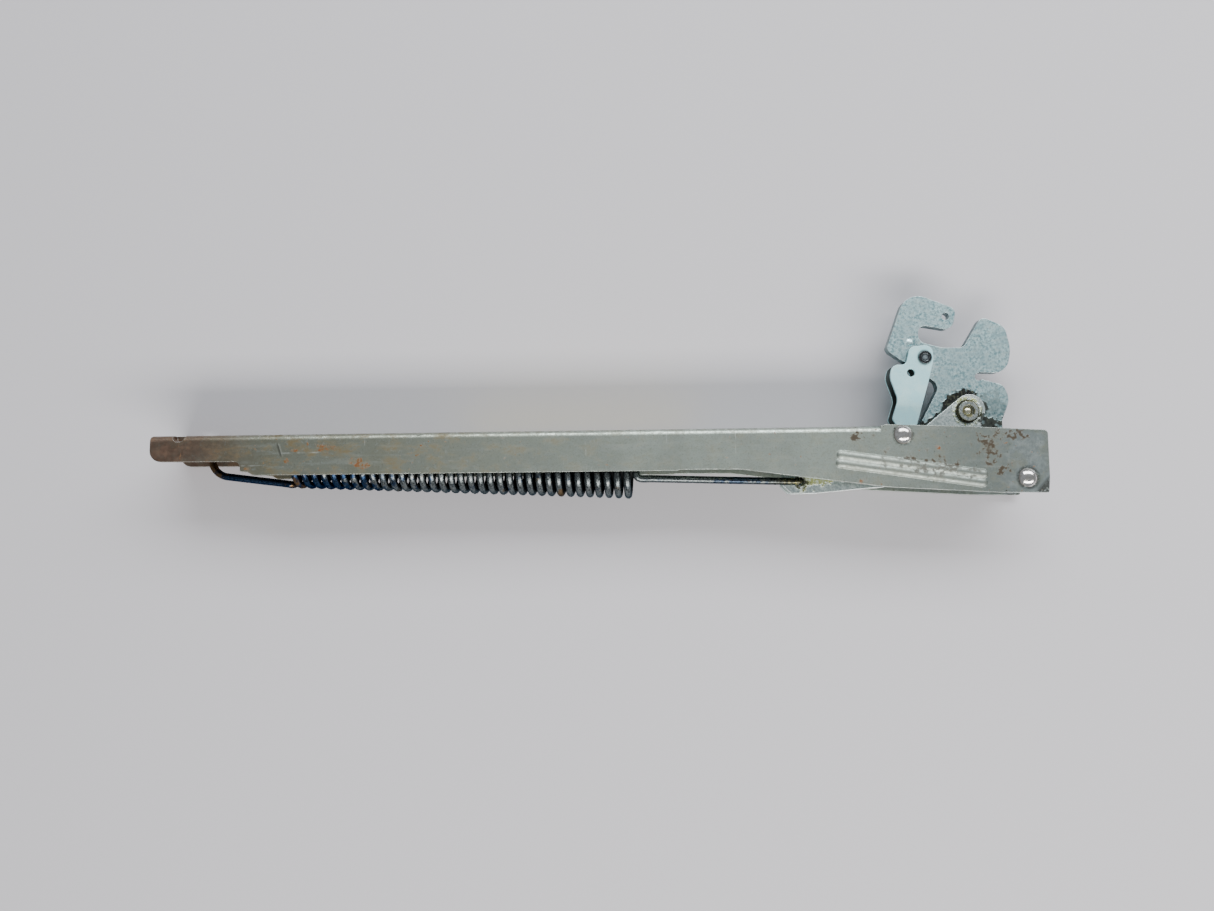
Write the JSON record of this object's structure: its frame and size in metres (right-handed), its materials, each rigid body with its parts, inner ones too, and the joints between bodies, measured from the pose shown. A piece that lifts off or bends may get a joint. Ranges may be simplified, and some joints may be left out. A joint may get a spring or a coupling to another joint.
{
  "type": "spring door hinge",
  "caption": "Spring-loaded door hinge: long U channel with tension spring, link, hook arm that turns through a right angle, and a flip catch.",
  "frame": {"origin": "bottom centre of the whole hinge's bounding box, the hinge lying on its far side wall's rivet heads", "axes": "+X along the channel towards the hook arm, +Y towards the channel's back, +Z across the channel from its far wall to its near wall"},
  "size_m": [0.288, 0.0676, 0.0244],
  "materials": {
    "channel_steel": "satin zinc plated sheet, stained",
    "polished_steel": "polished",
    "zinc_steel": "bright zinc",
    "arm_zinc": "mottled blue zinc",
    "catch_zinc": "smooth pale blue zinc",
    "link_zinc": "bright zinc with grease",
    "rivet_zinc": "bright zinc with grease",
    "black_steel": "black oxide",
    "greased_steel": "steel under dark grease",
    "blued_steel": "tempered spring wire, blue to dark grey",
    "label": "blank yellow sticker"
  },
  "bodies": {
    "channel": {"channel": "channel_steel", "main_pivot_pin": "polished_steel", "pivot_sleeve_near": "zinc_steel", "pivot_sleeve_far": "zinc_steel", "guide_pin": "polished_steel", "blank_label": "label"},
    "guide_roller": {"guide_roller": "zinc_steel"},
    "hook_arm": {"hook_arm": "arm_zinc", "pivot_bush": "zinc_steel"},
    "flip_catch": {"flip_catch": "catch_zinc", "catch_rivet": "black_steel"},
    "link": {"link_cheek_near": "link_zinc", "link_cheek_far": "link_zinc", "link_rivet": "rivet_zinc", "link_washer_near": "greased_steel", "link_washer_far": "greased_steel", "link_spacer": "zinc_steel"},
    "spring": {"tension_spring": "blued_steel"}
  },
  "joints": [
    {"name": "hook_arm_hinge", "type": "hinge", "parent": "channel", "child": "hook_arm", "pos_m": [0.137, -0.0281, 0.0118], "axis": [0, 0, -1], "range_deg": [0, 90], "stiffness_Nm_per_rad": 1.2, "springref_deg": -17.19},
    {"name": "link_pivot", "type": "hinge", "parent": "hook_arm", "child": "link", "pos_m": [0.1216, -0.0057, 0.0118], "axis": [0, 0, -1], "range_deg": [-84, 0]},
    {"name": "spring_stretch", "type": "slide", "parent": "channel", "child": "spring", "axis": [1, 0, 0], "range_m": [0, 0.0356], "deforming": ["tension_spring"]},
    {"name": "flip_catch_hinge", "type": "hinge", "parent": "hook_arm", "child": "flip_catch", "pos_m": [0.1085, 0.0126, 0.0118], "axis": [0, 0, -1], "range_deg": [0, 95]},
    {"name": "roller_spin", "type": "hinge", "parent": "channel", "child": "guide_roller", "pos_m": [0.0976, -0.0141, 0.0118], "axis": [0, 0, 1], "continuous": true}
  ],
  "couplings": [
    {"joint": "link_pivot", "follows": "hook_arm_hinge", "ratio": -0.922},
    {"joint": "spring_stretch", "follows": "hook_arm_hinge", "m_per_rad": 0.02254}
  ]
}
